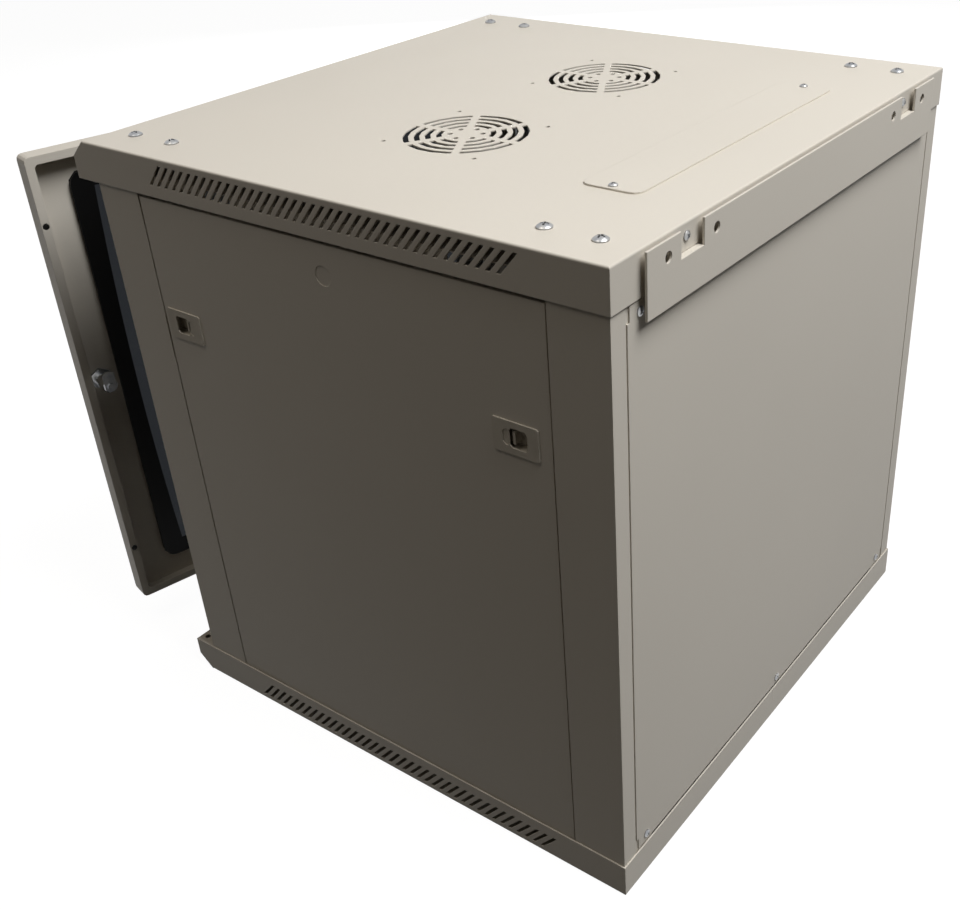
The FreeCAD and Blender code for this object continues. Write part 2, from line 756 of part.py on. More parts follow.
def front_post(label, side):
    """A folded channel with the door flange and a slot for the lock's cam."""
    body = new_body(label)
    flange = inner_width - d.post_flange
    path = [(flange, from_back(post_front - d.post_lip)), (flange, from_back(post_front)),
            (inner_width, from_back(post_front)), (inner_width, from_back(post_inner)),
            (inner_width - d.post_return, from_back(post_inner))]
    height = d.cabinet_height - d.cover_sheet * 2
    extrude(body, "Z", d.cover_sheet, height, [folded(turned(path, side), d.frame_sheet)])
    for top in (True, False):
        post_foot(body, side, False, top)
    lock_x = side * (d.cabinet_width / 2 - d.door_side_gap - d.lock_inset)
    slot = Rectangle(lock_x - d.cam_slot_width / 2, lock_x + d.cam_slot_width / 2,
                     d.lock_level - d.cam_slot_height / 2, d.lock_level + d.cam_slot_height / 2)
    punch(body, "Y", from_back(post_front), d.frame_sheet, [slot])
    bolt_slot(body, side, from_back(post_inner) - d.frame_sheet, d.frame_sheet)


def rear_post(label, side):
    """A folded channel with a stepped flange that carries the back panel."""
    body = new_body(label)
    flange = inner_width - d.back_flange
    step = d.cover_sheet + d.panel_sheet
    path = [(inner_width - d.post_return, from_back(rear_post_edge)),
            (inner_width, from_back(rear_post_edge)),
            (inner_width, from_back(d.cover_sheet)), (flange, from_back(d.cover_sheet)),
            (flange, from_back(step)), (flange - d.back_ledge, from_back(step))]
    outline = folded(turned(path, side), d.frame_sheet)
    extrude(body, "Z", d.cover_sheet, d.cabinet_height - d.cover_sheet * 2, [outline])
    for top in (True, False):
        post_foot(body, side, True, top)
    x = side * (d.cabinet_width / 2 - d.back_screw_inset)
    holes = [hidden_hole(x, level(d.skirt_height + d.back_screw_level, top), d.back_screw + d.fit_gap)
             for top in (True, False)]
    punch(body, "Y", from_back(step + d.frame_sheet), d.frame_sheet, holes)
    bolt_slot(body, side, from_back(rear_post_edge), d.frame_sheet)


def bolt_slot(body, side, start, thickness):
    """The slot that a latch bolt passes in a post's return or a panel's fold."""
    gap = d.bolt_slot_gap
    inner, outer = span(side * (bolt_face - d.bolt_sheet - gap), side * (bolt_face + gap))
    half = d.bolt_height / 2 + gap
    punch(body, "Y", start, thickness, [Rectangle(inner, outer, d.latch_level - half, d.latch_level + half)])


def side_rail(label, side, top):
    """An angle between two posts, with bent feet that take the cover screws."""
    body = new_body(label)
    outer = inner_width - (d.rail_setback if top else d.base_rail_setback)
    foot_x = inner_width - d.foot_web_inset
    inner = lesser(rack_bolt_x - d.depth_slot / 2 - d.slot_edge, foot_x - d.frame_sheet * 2)
    low, high = span(level(d.rail_level, top), level(d.rail_level + d.rail_web, top))
    web = Rectangle(*span(side * outer, side * (outer - d.frame_sheet)), low, high)
    gap_end = d.web_gap_start + d.web_gap
    runs = [(d.web_rear, d.web_gap_start), (gap_end, post_inner)] if top else [(rear_post_edge, post_inner)]
    for rear, front in runs:
        extrude(body, "Y", from_back(front), front - rear, [web])
    flange_z = span(level(d.rail_level, top), level(d.rail_level + d.frame_sheet, top))
    flange = Rectangle(*span(side * outer, side * inner), *flange_z)
    extrude(body, "Y", from_back(post_inner), post_inner - rear_post_edge, [flange])
    tab_z = span(level(d.cover_sheet, top), level(d.cover_sheet + d.frame_sheet, top))
    rise_z = span(level(d.cover_sheet, top), level(d.rail_level + d.frame_sheet / 2, top))
    foot_places = (d.rail_screw_rear, post_front - d.rail_screw_front)
    for distance in foot_places:
        foot_y = from_back(distance) - d.foot_length / 2
        rise = Rectangle(*span(side * foot_x, side * (foot_x - d.frame_sheet)), *rise_z)
        extrude(body, "Y", foot_y, d.foot_length, [rise])
        tab = Rectangle(*span(side * foot_x, side * (foot_x - d.foot_tab)), *tab_z)
        extrude(body, "Y", foot_y, d.foot_length, [tab])
    x = side * (d.cabinet_width / 2 - d.cover_screw_inset)
    screw_holes(body, [(x, from_back(distance)) for distance in foot_places], top)
    slots = []
    half = d.depth_slot / 2
    for distance, inward in ((front_rack_bolt, -1), (rear_rack_bolt, 1)):
        middle = from_back(distance + (d.depth_slot_length / 2 - d.depth_slot_margin) * inward)
        slots.append(Rectangle(side * rack_bolt_x - half, side * rack_bolt_x + half,
                               middle - d.depth_slot_length / 2, middle + d.depth_slot_length / 2))
    punch(body, "Z", flange_z[0], d.frame_sheet, slots)


# ---------------------------------------------------------------- equipment rails

def rack_rail(label, side, front):
    """An equipment rail: flange with square holes, side web, and a bolted tab at each end."""
    body = new_body(label)
    face = from_back(d.front_rack_from_back if front else d.rear_rack_from_back)
    inward = 1 if front else -1
    inner = d.rack_opening / 2
    outer = inner + d.rack_flange
    low = d.rail_level + d.frame_sheet
    height = d.cabinet_height - low * 2
    flange = Rectangle(*span(side * inner, side * outer), *span(face, face + d.rack_sheet * inward))
    extrude(body, "Z", low, height, [flange])
    web = Rectangle(*span(side * outer, side * (outer - d.rack_sheet)),
                    *span(face, face + d.rack_web * inward))
    extrude(body, "Z", low, height, [web])
    for start in (low, low + height - d.rack_sheet):
        tab_start = face + d.rack_tab_inset * inward
        tab = Rectangle(*span(side * (outer - d.rack_sheet / 2), side * (outer + d.rack_tab)),
                        *span(tab_start, tab_start + d.rack_tab_depth * inward))
        extrude(body, "Z", start, d.rack_sheet, [tab])
    bolt_y = from_back(front_rack_bolt if front else rear_rack_bolt)
    punch(body, "Z", low, height, [hidden_hole(side * rack_bolt_x, bolt_y, d.rack_bolt + d.fit_gap * 2)])
    x = side * d.rack_hole_spacing / 2
    half = d.rack_hole / 2
    first = (d.cabinet_height - d.unit_height * unit_count) / 2 + d.unit_height / 2 - d.rack_hole_pitch
    levels = [first + d.rack_hole_pitch * step for step in range(3)]
    squares = [Rectangle(x - half, x + half, z - half, z + half) for z in levels]
    holes = punch(body, "Y", span(face, face + d.rack_sheet * inward)[0], d.rack_sheet, squares)
    repeat(body, holes, "Z", d.unit_height, unit_count)


def rack_fasteners():
    """The bolts and nuts that hold the equipment rails to the side rails."""
    bolts, nuts = new_body("rack_rail_bolts"), new_body("rack_rail_nuts")
    places = [(side * rack_bolt_x, from_back(distance))
              for side in (1, -1) for distance in (front_rack_bolt, rear_rack_bolt)]
    seat = d.rail_level + d.frame_sheet + d.rack_sheet
    tip = d.rail_level - d.rack_nut_rise - d.rack_bolt_past_nut
    root = seat + d.rack_bolt_rise / 2
    for top in (True, False):
        head_start, _ = span(level(seat, top), level(seat + d.rack_bolt_rise, top))
        shank_start, _ = span(level(root, top), level(tip, top))
        nut_start, _ = span(level(d.rail_level, top), level(d.rail_level - d.rack_nut_rise, top))
        for x, y in places:
            extrude(bolts, "Z", head_start, d.rack_bolt_rise, [Sided(x, y, d.rack_bolt_head, 6)])
            extrude(bolts, "Z", shank_start, root - tip, [shank(x, y, d.rack_bolt)])
            ring = [Sided(x, y, d.rack_nut_width, 6), hidden_hole(x, y, d.rack_bolt)]
            extrude(nuts, "Z", nut_start, d.rack_nut_rise, ring)


# ---------------------------------------------------------------- side panels and latches

panel_front = post_inner - d.panel_slit
panel_rear = rear_post_edge + d.panel_slit
panel_top = d.cabinet_height - d.skirt_height - d.panel_top_slit


def latch_place(front):
    """The distance from the back of the outer end of a latch plate, and the way to the panel's middle."""
    if front:
        return panel_front - d.latch_inset_front, -1
    return panel_rear + d.latch_inset_rear, 1


def along(front, distance):
    """A Y place measured from the outer end of a latch towards the middle of the panel."""
    end, inward = latch_place(front)
    return from_back(end + distance * inward)


def side_panel(label, side):
    """A folded sheet with a lip behind the bottom skirt and cut-outs for two latches."""
    body = new_body(label)
    outer, inner = side * panel_face, side * (panel_face - d.panel_sheet)
    low = d.skirt_height - d.panel_lip
    x_low, x_high = span(outer, inner)
    rear, front = from_back(panel_rear), from_back(panel_front)
    extrude(body, "X", x_low, d.panel_sheet, [Rectangle(front, rear, low, panel_top)])
    fold_low, fold_high = span(outer, side * (panel_face - d.panel_fold))
    fold_foot = d.skirt_height + d.panel_lip
    for y_low in (front, rear - d.panel_sheet):
        fold = Rectangle(y_low, y_low + d.panel_sheet, fold_foot, panel_top)
        extrude(body, "X", fold_low, d.panel_fold, [fold])
    extrude(body, "X", fold_low, d.panel_fold, [Rectangle(front, rear, panel_top - d.panel_sheet, panel_top)])
    half = d.latch_height / 2 - d.latch_margin + d.fit_gap
    openings = []
    for is_front in (True, False):
        y = span(along(is_front, d.latch_margin - d.fit_gap),
                 along(is_front, d.latch_length - d.latch_margin + d.fit_gap))
        openings.append(Rectangle(*y, d.latch_level - half, d.latch_level + half))
    punch(body, "X", x_low, d.panel_sheet, openings)
    for y_low in (front, rear - d.panel_sheet):
        bolt_slot(body, side, y_low, d.panel_sheet)
    knockout = Sided(from_back((panel_front + panel_rear) / 2),
                     d.cabinet_height - d.skirt_height - d.knockout_drop, d.lock_knockout, SMALL_ROUND_SIDES)
    pushed, _ = span(inner - side * d.knockout_depth, outer - side * d.knockout_depth)
    extrude(body, "X", pushed, d.panel_sheet, [knockout])
    sink_from(body, side * panel_face, side, d.knockout_depth, [knockout])
    bend = outside_of_bend(outer, panel_top, d.panel_bend, -side, -1)
    extrude(body, "Y", front - d.overcut, rear - front + d.overcut * 2, [bend], cut=True)


def sink_from(body, face, side, depth, loops):
    """Sink loops into a face that looks along X, outward on the given side."""
    start, _ = span(face - side * depth, face + side * d.overcut)
    extrude(body, "X", start, depth + d.overcut, loops, cut=True)


def latch_case(label, side, front):
    """A latch plate with a finger window and the shallow box that guides the bolt."""
    body = new_body(label)
    middle = d.latch_level
    plate_x, _ = span(side * panel_face, side * (panel_face + d.latch_plate))
    plate_y = span(along(front, 0), along(front, d.latch_length))
    half = d.latch_height / 2
    plate = ChamferedRectangle(*plate_y, middle - half, middle + half, d.latch_corner)
    extrude(body, "X", plate_x, d.latch_plate, [plate])
    box_half = half - d.latch_margin
    box_y = span(along(front, d.latch_margin), along(front, d.latch_length - d.latch_margin))
    box_low, _ = span(side * (panel_face - d.latch_depth), side * panel_face)
    extrude(body, "X", box_low, d.latch_depth, [Rectangle(*box_y, middle - box_half, middle + box_half)])
    room_low, room_high = span(side * (panel_face - d.latch_depth + d.latch_wall), side * panel_face)
    room = Rectangle(box_y[0] + d.latch_wall, box_y[1] - d.latch_wall,
                     middle - box_half + d.latch_wall, middle + box_half - d.latch_wall)
    extrude(body, "X", room_low, d.latch_depth - d.latch_wall, [room], cut=True)
    window_y = span(along(front, d.latch_window_inset), along(front, d.latch_window_inset + d.latch_window))
    window_half = d.latch_window_height / 2
    window = ChamferedRectangle(*window_y, middle - window_half, middle + window_half, d.latch_corner * 1.5)
    punch(body, "X", plate_x, d.latch_plate, [window])
    window_end = d.latch_window_inset + d.latch_window
    scoop_y = span(along(front, window_end - d.overcut), along(front, window_end + d.scoop_width))
    scoop = ChamferedRectangle(*scoop_y, middle - window_half + d.latch_corner,
                               middle + window_half - d.latch_corner, d.latch_corner * 2)
    sink_from(body, side * (panel_face + d.latch_plate), side, d.scoop_depth, [scoop])
    slot = Rectangle(*span(side * (bolt_face - d.bolt_sheet - d.fit_gap), side * (bolt_face + d.fit_gap)),
                     middle - d.bolt_height / 2 - d.fit_gap, middle + d.bolt_height / 2 + d.fit_gap)
    slot_y, _ = span(along(front, d.latch_margin), along(front, d.latch_margin + d.latch_wall))
    punch(body, "Y", slot_y, d.latch_wall, [slot])


def latch_bolt(label, side, front):
    """The sliding bolt, drawn back, with an upright tab for the finger."""
    body = new_body(label)
    middle = d.latch_level
    _, inward = latch_place(front)
    tip = panel_front if front else panel_rear
    bolt_y = span(from_back(tip), from_back(tip + d.bolt_length * inward))
    bolt_low, _ = span(side * bolt_face, side * (bolt_face - d.bolt_sheet))
    extrude(body, "X", bolt_low, d.bolt_sheet,
            [Rectangle(*bolt_y, middle - d.bolt_height / 2, middle + d.bolt_height / 2)])
    tab_near = d.latch_window_inset + d.thumb_gap + d.bolt_throw
    tab_y = span(along(front, tab_near), along(front, tab_near + d.thumb_sheet))
    root = bolt_face - d.bolt_sheet / 2
    tab_low, _ = span(side * root, side * (panel_face - d.fit_gap))
    half = d.bolt_height / 2 - d.thumb_inset
    tab = Rectangle(*tab_y, middle - half, middle + half)
    extrude(body, "X", tab_low, panel_face - d.fit_gap - root, [tab])


# ---------------------------------------------------------------- back

back_screw_places = [(x, level(d.skirt_height + d.back_screw_level, top))
                     for top in (True, False)
                     for x in (-(d.cabinet_width / 2 - d.back_screw_inset), Size.of(0),
                               d.cabinet_width / 2 - d.back_screw_inset)]


def back_panel():
    """A flat sheet in the rear posts' step, with notched corners."""
    body = new_body("back_panel")
    half = inner_width - d.back_flange - d.back_slit
    low, high = d.skirt_height + d.back_slit, d.cabinet_height - d.skirt_height - d.back_slit
    notch, tall = d.back_notch, d.back_corner
    outline = Polygon([
        (-half + notch, low), (half - notch, low), (half - notch, low + tall), (half, low + tall),
        (half, high - tall), (half - notch, high - tall), (half - notch, high), (-half + notch, high),
        (-half + notch, high - tall), (-half, high - tall), (-half, low + tall), (-half + notch, low + tall)])
    start = from_back(d.cover_sheet + d.panel_sheet)
    extrude(body, "Y", start, d.panel_sheet, [outline])
    punch(body, "Y", start, d.panel_sheet,
          [hidden_hole(x, z, d.back_screw + d.fit_gap) for x, z in back_screw_places])


def back_brace(label, top):
    """An angle between the rear posts behind the edge of the back panel."""
    body = new_body(label)
    half = inner_width - d.back_flange - d.back_ledge - d.fit_gap
    edge = d.skirt_height + d.back_slit
    face = from_back(d.cover_sheet + d.panel_sheet)
    upright = Rectangle(face - d.frame_sheet, face,
                        *span(level(edge, top), level(edge + d.brace_height, top)))
    end = edge + d.brace_height
    foot = Rectangle(face - d.brace_depth, face, *span(level(end - d.frame_sheet, top), level(end, top)))
    extrude(body, "X", -half, half * 2, [upright])
    extrude(body, "X", -half, half * 2, [foot])
    hole = hidden_hole(0, level(d.skirt_height + d.back_screw_level, top), d.back_screw + d.fit_gap)
    punch(body, "Y", face - d.frame_sheet, d.frame_sheet, [hole])


def wall_bracket():
    """A strip for the wall, with two hooks bent through the back skirt."""
    body = new_body("wall_bracket")
    half = d.bracket_width / 2
    high = d.cabinet_height - d.bracket_top
    low = high - d.bracket_height
    seat = high - d.hook_notch
    inner = from_back(-d.bracket_standoff)
    hook_sides = [(side * d.hook_spacing / 2 - d.hook_width / 2, side * d.hook_spacing / 2 + d.hook_width / 2)
                  for side in (1, -1)]
    corners = [(-half, low), (half, low), (half, high)]
    for near, far in hook_sides:
        corners += [(far, high), (far, seat), (near, seat), (near, high)]
    corners += [(-half, high)]
    extrude(body, "Y", inner, d.bracket_sheet, [Polygon(corners)])
    hook_back = from_back(d.cover_sheet + d.bracket_sheet)
    ledges = [Rectangle(near, far, seat - d.bracket_sheet, seat) for near, far in hook_sides]
    extrude(body, "Y", hook_back, inner + d.bracket_sheet - hook_back, ledges)
    upstands = [Rectangle(near, far, seat - d.bracket_sheet, seat + d.hook_upstand)
                for near, far in hook_sides]
    extrude(body, "Y", hook_back, d.bracket_sheet, upstands)
    screw_z = d.cabinet_height - d.bracket_screw_level
    threads = [hidden_hole(side * d.hook_spacing / 2, screw_z, d.bracket_screw) for side in (1, -1)]
    extrude(body, "Y", hook_back - d.overcut, d.bracket_sheet + d.overcut, threads, cut=True)
    wall_z = d.cabinet_height - d.wall_hole_level
    holes = [Circle(side * spacing / 2, wall_z, d.wall_hole)
             for side in (1, -1) for spacing in (d.wall_hole_inner, d.wall_hole_outer)]
    punch(body, "Y", inner, d.bracket_sheet, holes)


# ---------------------------------------------------------------- screws through sheet

def screws(label, axis, places, seat, head, rise, width, length):
    """A group of screws with heads on the positive side of their seat."""
    body = new_body(label)
    for x, y in places:
        extrude(body, axis, seat, rise, [Sided(x, y, head, HOLE_SIDES)])
        extrude(body, axis, seat - length, length + rise / 2, [shank(x, y, width)])


def sunk_screws():
    """Flush screws through the base, heads in the cones of the cover and the feet."""
    body = new_body("base_screws")
    cone = (d.sunk_head - d.cover_screw) / 2
    for x, y in cover_screw_places:
        extrude(body, "Z", d.sunk_below, cone, [Sided(x, y, d.sunk_head, HOLE_SIDES)], taper=SUNK_TAPER)
        extrude(body, "Z", cone / 2, d.rail_web - cone, [shank(x, y, d.cover_screw)])


# ---------------------------------------------------------------- door

door_left = -(d.hinge_inset - d.door_side_gap)
door_right = d.cabinet_width - d.hinge_inset - d.door_side_gap
door_low = d.skirt_height + d.door_gap
door_high = d.cabinet_height - d.skirt_height - d.door_gap
door_front = -(d.hinge_setback - d.door_front_gap)
door_back = door_front + d.door_thickness
skin_back = door_front + d.door_sheet
lock_x = door_right - d.lock_inset
lock_end = door_front + d.lock_length


def door_body(label):
    """A body drawn from the hinge line and turned with the door."""
    body = new_body(label)
    body.Placement.Rotation = FreeCAD.Rotation(FreeCAD.Vector(0, 0, -1), d.door_angle.value)
    bind(body, "Placement.Base.x", -(d.cabinet_width / 2 - d.hinge_inset))
    bind(body, "Placement.Base.y", from_back(hinge_from_back))
    bind(body, "Placement.Rotation.Angle", d.door_angle)
    return body


tray_corner = (d.door_corner - d.door_sheet) * (2 - math.sqrt(2))


def inset_outline(shape, inset, corner):
    """The door's outline, moved in all round."""
    return shape(door_left + inset, door_right - inset, door_low + inset, door_high - inset, corner)


def pane_outline(shape, inset, corner):
    """The glass's outline, moved in all round."""
    return shape(door_left + d.glass_border_side + inset, door_right - d.glass_border_side - inset,
                 door_low + d.glass_border_ends + inset, door_high - d.glass_border_ends - inset, corner)


def door_frame():
    """A folded tray with returned lips and a rounded window."""
    body = door_body("door_frame")
    extrude(body, "Y", door_front, d.door_thickness, [inset_outline(EasedRectangle, 0, d.door_corner)])
    mouth = inset_outline(ChamferedRectangle, d.door_lip, tray_corner)
    extrude(body, "Y", skin_back, d.door_thickness, [mouth], cut=True)
    cavity = inset_outline(ChamferedRectangle, d.door_sheet, tray_corner)
    extrude(body, "Y", skin_back, d.door_thickness - d.door_sheet * 2, [cavity], cut=True)
    window = pane_outline(RoundedRectangle, d.glass_overlap, d.glass_corner)
    lock = Sided(lock_x, d.lock_level, d.lock_body + d.fit_gap, ROUND_SIDES)
    punch(body, "Y", door_front, d.door_sheet, [window, lock])
    middle = d.door_lip / 2
    holes = [Sided(x, z, d.lip_hole, SMALL_ROUND_SIDES)
             for x in (door_left + middle, door_right - middle)
             for z in (door_low + d.lip_hole_level, door_high - d.lip_hole_level)]
    punch(body, "Y", door_back - d.door_sheet, d.door_sheet, holes)
    punch(body, "Z", door_low, door_high - door_low, [hidden_hole(0, 0, d.hinge_pin_hole)])


def door_glass():
    """The pane and the tape that bonds it inside the tray."""
    pane = door_body("door_glass")
    glass = pane_outline(RoundedRectangle, 0, d.glass_corner)
    extrude(pane, "Y", skin_back + d.tape_sheet, d.glass_sheet, [glass])
    tape = door_body("glass_tape")
    edge, inside = d.tape_inset, d.tape_inset + d.tape_width
    extrude(tape, "Y", skin_back, d.tape_sheet,
            [pane_outline(ChamferedRectangle, edge, d.glass_corner / 2),
             pane_outline(ChamferedRectangle, inside, d.glass_corner / 4)])


def hinge(label, top):
    """One hinge pin and the block that carries it inside the door."""
    edge = door_high if top else door_low
    inward = -1 if top else 1
    block = door_body(f"hinge_block_{label}")
    low, high = span(edge + d.door_sheet * inward, edge + (d.door_sheet + d.hinge_block_height) * inward)
    left = door_left + d.door_sheet
    outline = ChamferedRectangle(left, left + d.hinge_block, low, high, tray_corner)
    extrude(block, "Y", skin_back, d.hinge_block, [outline])
    punch(block, "Z", low, d.hinge_block_height, [hidden_hole(0, 0, d.hinge_pin)])
    pin = door_body(f"hinge_pin_{label}")
    reach = d.door_gap + d.cover_sheet + d.pin_past_lip
    low, _ = span(edge - reach * inward, edge + (d.door_sheet + d.hinge_block_height) * inward)
    extrude(pin, "Z", low, reach + d.door_sheet + d.hinge_block_height, [Circle(0, 0, d.hinge_pin)])


def hinge_washer():
    """The plain washer that the door stands on at its lower pin."""
    body = door_body("hinge_washer")
    extrude(body, "Z", d.skirt_height + d.washer_gap, d.door_gap - d.washer_gap,
            [Sided(0, 0, d.washer, SMALL_ROUND_SIDES), hidden_hole(0, 0, d.hinge_pin + d.fit_gap)])


def door_lock():
    """A cam lock: flanged body, nut, turning plug, cam and its screw."""
    z = d.lock_level
    start = door_front - d.lock_flange_rise
    body = door_body("lock_body")
    extrude(body, "Y", start, d.lock_flange_rise, [Sided(lock_x, z, d.lock_flange, ROUND_SIDES)])
    barrel = Sided(lock_x, z, d.lock_body, ROUND_SIDES)
    extrude(body, "Y", door_front - d.lock_flange_rise / 2, d.lock_length + d.lock_flange_rise / 2, [barrel])
    punch(body, "Y", start, lock_end - start, [Circle(lock_x, z, d.lock_plug + d.hinge_clearance * 2)])
    nut = door_body("lock_nut")
    extrude(nut, "Y", skin_back, d.lock_nut_rise, [Sided(lock_x, z, d.lock_nut_width, 6), barrel])
    plug = door_body("lock_plug")
    extrude(plug, "Y", start, lock_end - start + d.fit_gap, [Circle(lock_x, z, d.lock_plug)])
    spigot = Sided(lock_x, z, d.lock_spigot, HOLE_SIDES)
    extrude(plug, "Y", lock_end, d.cam_sheet + d.fit_gap, [spigot])
    key = Rectangle(lock_x - d.key_slot / 2, lock_x + d.key_slot / 2,
                    z - d.key_slot_length / 2, z + d.key_slot_length / 2)
    extrude(plug, "Y", start - d.overcut, d.key_slot_depth + d.overcut, [key], cut=True)
    cam = door_body("lock_cam")
    half = d.cam_width / 2
    arm = ChamferedRectangle(lock_x - half, lock_x + half, z - half, z + d.cam_reach, d.cam_corner)
    extrude(cam, "Y", lock_end + d.fit_gap, d.cam_sheet, [arm, spigot])
    screw = door_body("cam_screw")
    seat = lock_end + d.fit_gap + d.cam_sheet
    head = Sided(lock_x, z, d.cam_screw_head, SMALL_ROUND_SIDES)
    extrude(screw, "Y", seat, d.cam_screw_rise, [head])


# ---------------------------------------------------------------- assembly

top_cover()
cover("bottom_cover", False, keep=True)
entry_plate("top_entry_plate", True)
entry_plate("bottom_entry_plate", False)
for name, hand in (("right", 1), ("left", -1)):
    front_post(f"front_post_{name}", hand)
    rear_post(f"rear_post_{name}", hand)
    side_rail(f"top_rail_{name}", hand, True)
    side_rail(f"bottom_rail_{name}", hand, False)
    rack_rail(f"front_rack_rail_{name}", hand, True)
    rack_rail(f"rear_rack_rail_{name}", hand, False)
    side_panel(f"side_panel_{name}", hand)
    for end_name, at_front in (("front", True), ("rear", False)):
        latch_case(f"latch_case_{name}_{end_name}", hand, at_front)
        latch_bolt(f"latch_bolt_{name}_{end_name}", hand, at_front)
rack_fasteners()
back_panel()
back_brace("top_brace", True)
back_brace("bottom_brace", False)
wall_bracket()
screws("cover_screws", "Z", cover_screw_places, d.cabinet_height, d.cover_screw_head,
       d.cover_screw_rise, d.cover_screw, d.rail_web)
sunk_screws()
screws("entry_plate_screws", "Z", plate_screw_places, d.cabinet_height + d.plate_sheet, d.back_screw_head,
       d.back_screw_rise, d.back_screw, d.back_screw_length)
screws("back_panel_screws", "Y", back_screw_places, from_back(d.cover_sheet), d.back_screw_head,
       d.back_screw_rise, d.back_screw, d.back_screw_length)
screws("bracket_screws", "Y",
       [(side * d.hook_spacing / 2, d.cabinet_height - d.bracket_screw_level) for side in (1, -1)],
       from_back(0), d.bracket_screw_head, d.bracket_screw_rise, d.bracket_screw,
       d.bracket_screw_length)
door_frame()
door_glass()
hinge("top", True)
hinge("bottom", False)
hinge_washer()
door_lock()

doc.recompute()
broken = [item.Label for item in doc.Objects if {"Invalid", "Error"} & set(item.State)]
broken += [node.Label for node in nodes if node.Shape.isNull() or not node.Shape.isValid()]
if broken:
    raise RuntimeError(f"these objects failed: {broken}")
os.makedirs("parts", exist_ok=True)
for node in nodes:
    node.Shape.exportStep(f"parts/{node.Label}.step")
print(len(nodes), "nodes,", sum(len(node.Shape.Solids) for node in nodes), "solids")
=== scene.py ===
"""Dresses the wall cabinet: powder coat, zinc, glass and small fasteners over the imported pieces.

Sizes are in metres.
"""
import json
import math

import bmesh
import bpy
from mathutils import Matrix, Vector


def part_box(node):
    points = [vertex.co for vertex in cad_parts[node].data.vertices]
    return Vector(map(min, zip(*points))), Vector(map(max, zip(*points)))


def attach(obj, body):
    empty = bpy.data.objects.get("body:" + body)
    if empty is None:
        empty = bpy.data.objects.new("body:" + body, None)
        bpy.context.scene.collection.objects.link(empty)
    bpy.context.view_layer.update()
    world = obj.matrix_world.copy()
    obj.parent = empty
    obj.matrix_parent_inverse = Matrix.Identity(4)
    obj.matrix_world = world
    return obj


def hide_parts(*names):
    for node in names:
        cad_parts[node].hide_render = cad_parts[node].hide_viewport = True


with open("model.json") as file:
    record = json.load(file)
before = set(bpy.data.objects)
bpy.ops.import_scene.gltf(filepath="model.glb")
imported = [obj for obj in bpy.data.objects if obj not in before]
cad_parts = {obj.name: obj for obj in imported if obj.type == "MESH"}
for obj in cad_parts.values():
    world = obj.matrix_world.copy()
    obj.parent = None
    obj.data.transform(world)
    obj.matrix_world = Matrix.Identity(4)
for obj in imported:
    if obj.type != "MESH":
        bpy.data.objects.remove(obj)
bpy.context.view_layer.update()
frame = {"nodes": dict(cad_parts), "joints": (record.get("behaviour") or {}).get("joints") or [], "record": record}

nodes = frame["nodes"]
scene = bpy.context.scene
scene.view_settings.view_transform = "Standard"

X, Y, Z = range(3)

# The door's own axes: width, depth and height from its hinge, at the angle where the part rests.
hinge = next(joint for joint in frame["joints"] if joint["name"] == "door_hinge")
hinge_place = tuple(hinge["pos_m"])
door_turn = math.radians(hinge["range_deg"][0])
door_axes = Matrix.Translation(hinge_place) @ Matrix.Rotation(door_turn, 4, "Z")


# ---------------------------------------------------------------- node wiring

class Wire:
    """A socket of a node tree, with the arithmetic that a finish needs."""

    def __init__(self, tree, socket):
        self.tree = tree
        self.socket = socket

    def __getitem__(self, name):
        return Wire(self.tree, self.socket.node.outputs[name])

    def maths(self, operation, *values):
        """A maths node of this wire's tree, on the given values in their order."""
        return self.tree.node("ShaderNodeMath", {"operation": operation}, values)

    def __add__(self, other):
        return self.maths("ADD", self, other)

    def __radd__(self, other):
        return self.maths("ADD", other, self)

    def __sub__(self, other):
        return self.maths("SUBTRACT", self, other)

    def __rsub__(self, other):
        return self.maths("SUBTRACT", other, self)

    def __mul__(self, other):
        return self.maths("MULTIPLY", self, other)

    def __rmul__(self, other):
        return self.maths("MULTIPLY", other, self)

    def __abs__(self):
        return self.maths("ABSOLUTE", self)

    def or_more(self, other):
        return self.maths("MAXIMUM", self, other)

    def above(self, low, high):
        """Rises smoothly from 0 to 1 while the value goes from low to high."""
        return self.tree.node("ShaderNodeMapRange", {"interpolation_type": "SMOOTHSTEP"},
                              {"Value": self, "From Min": low, "From Max": high})

    def beyond(self, edge, blur):
        """0 short of an edge and 1 past it, blended over a blur to both sides."""
        return self.above(edge - blur, edge + blur)


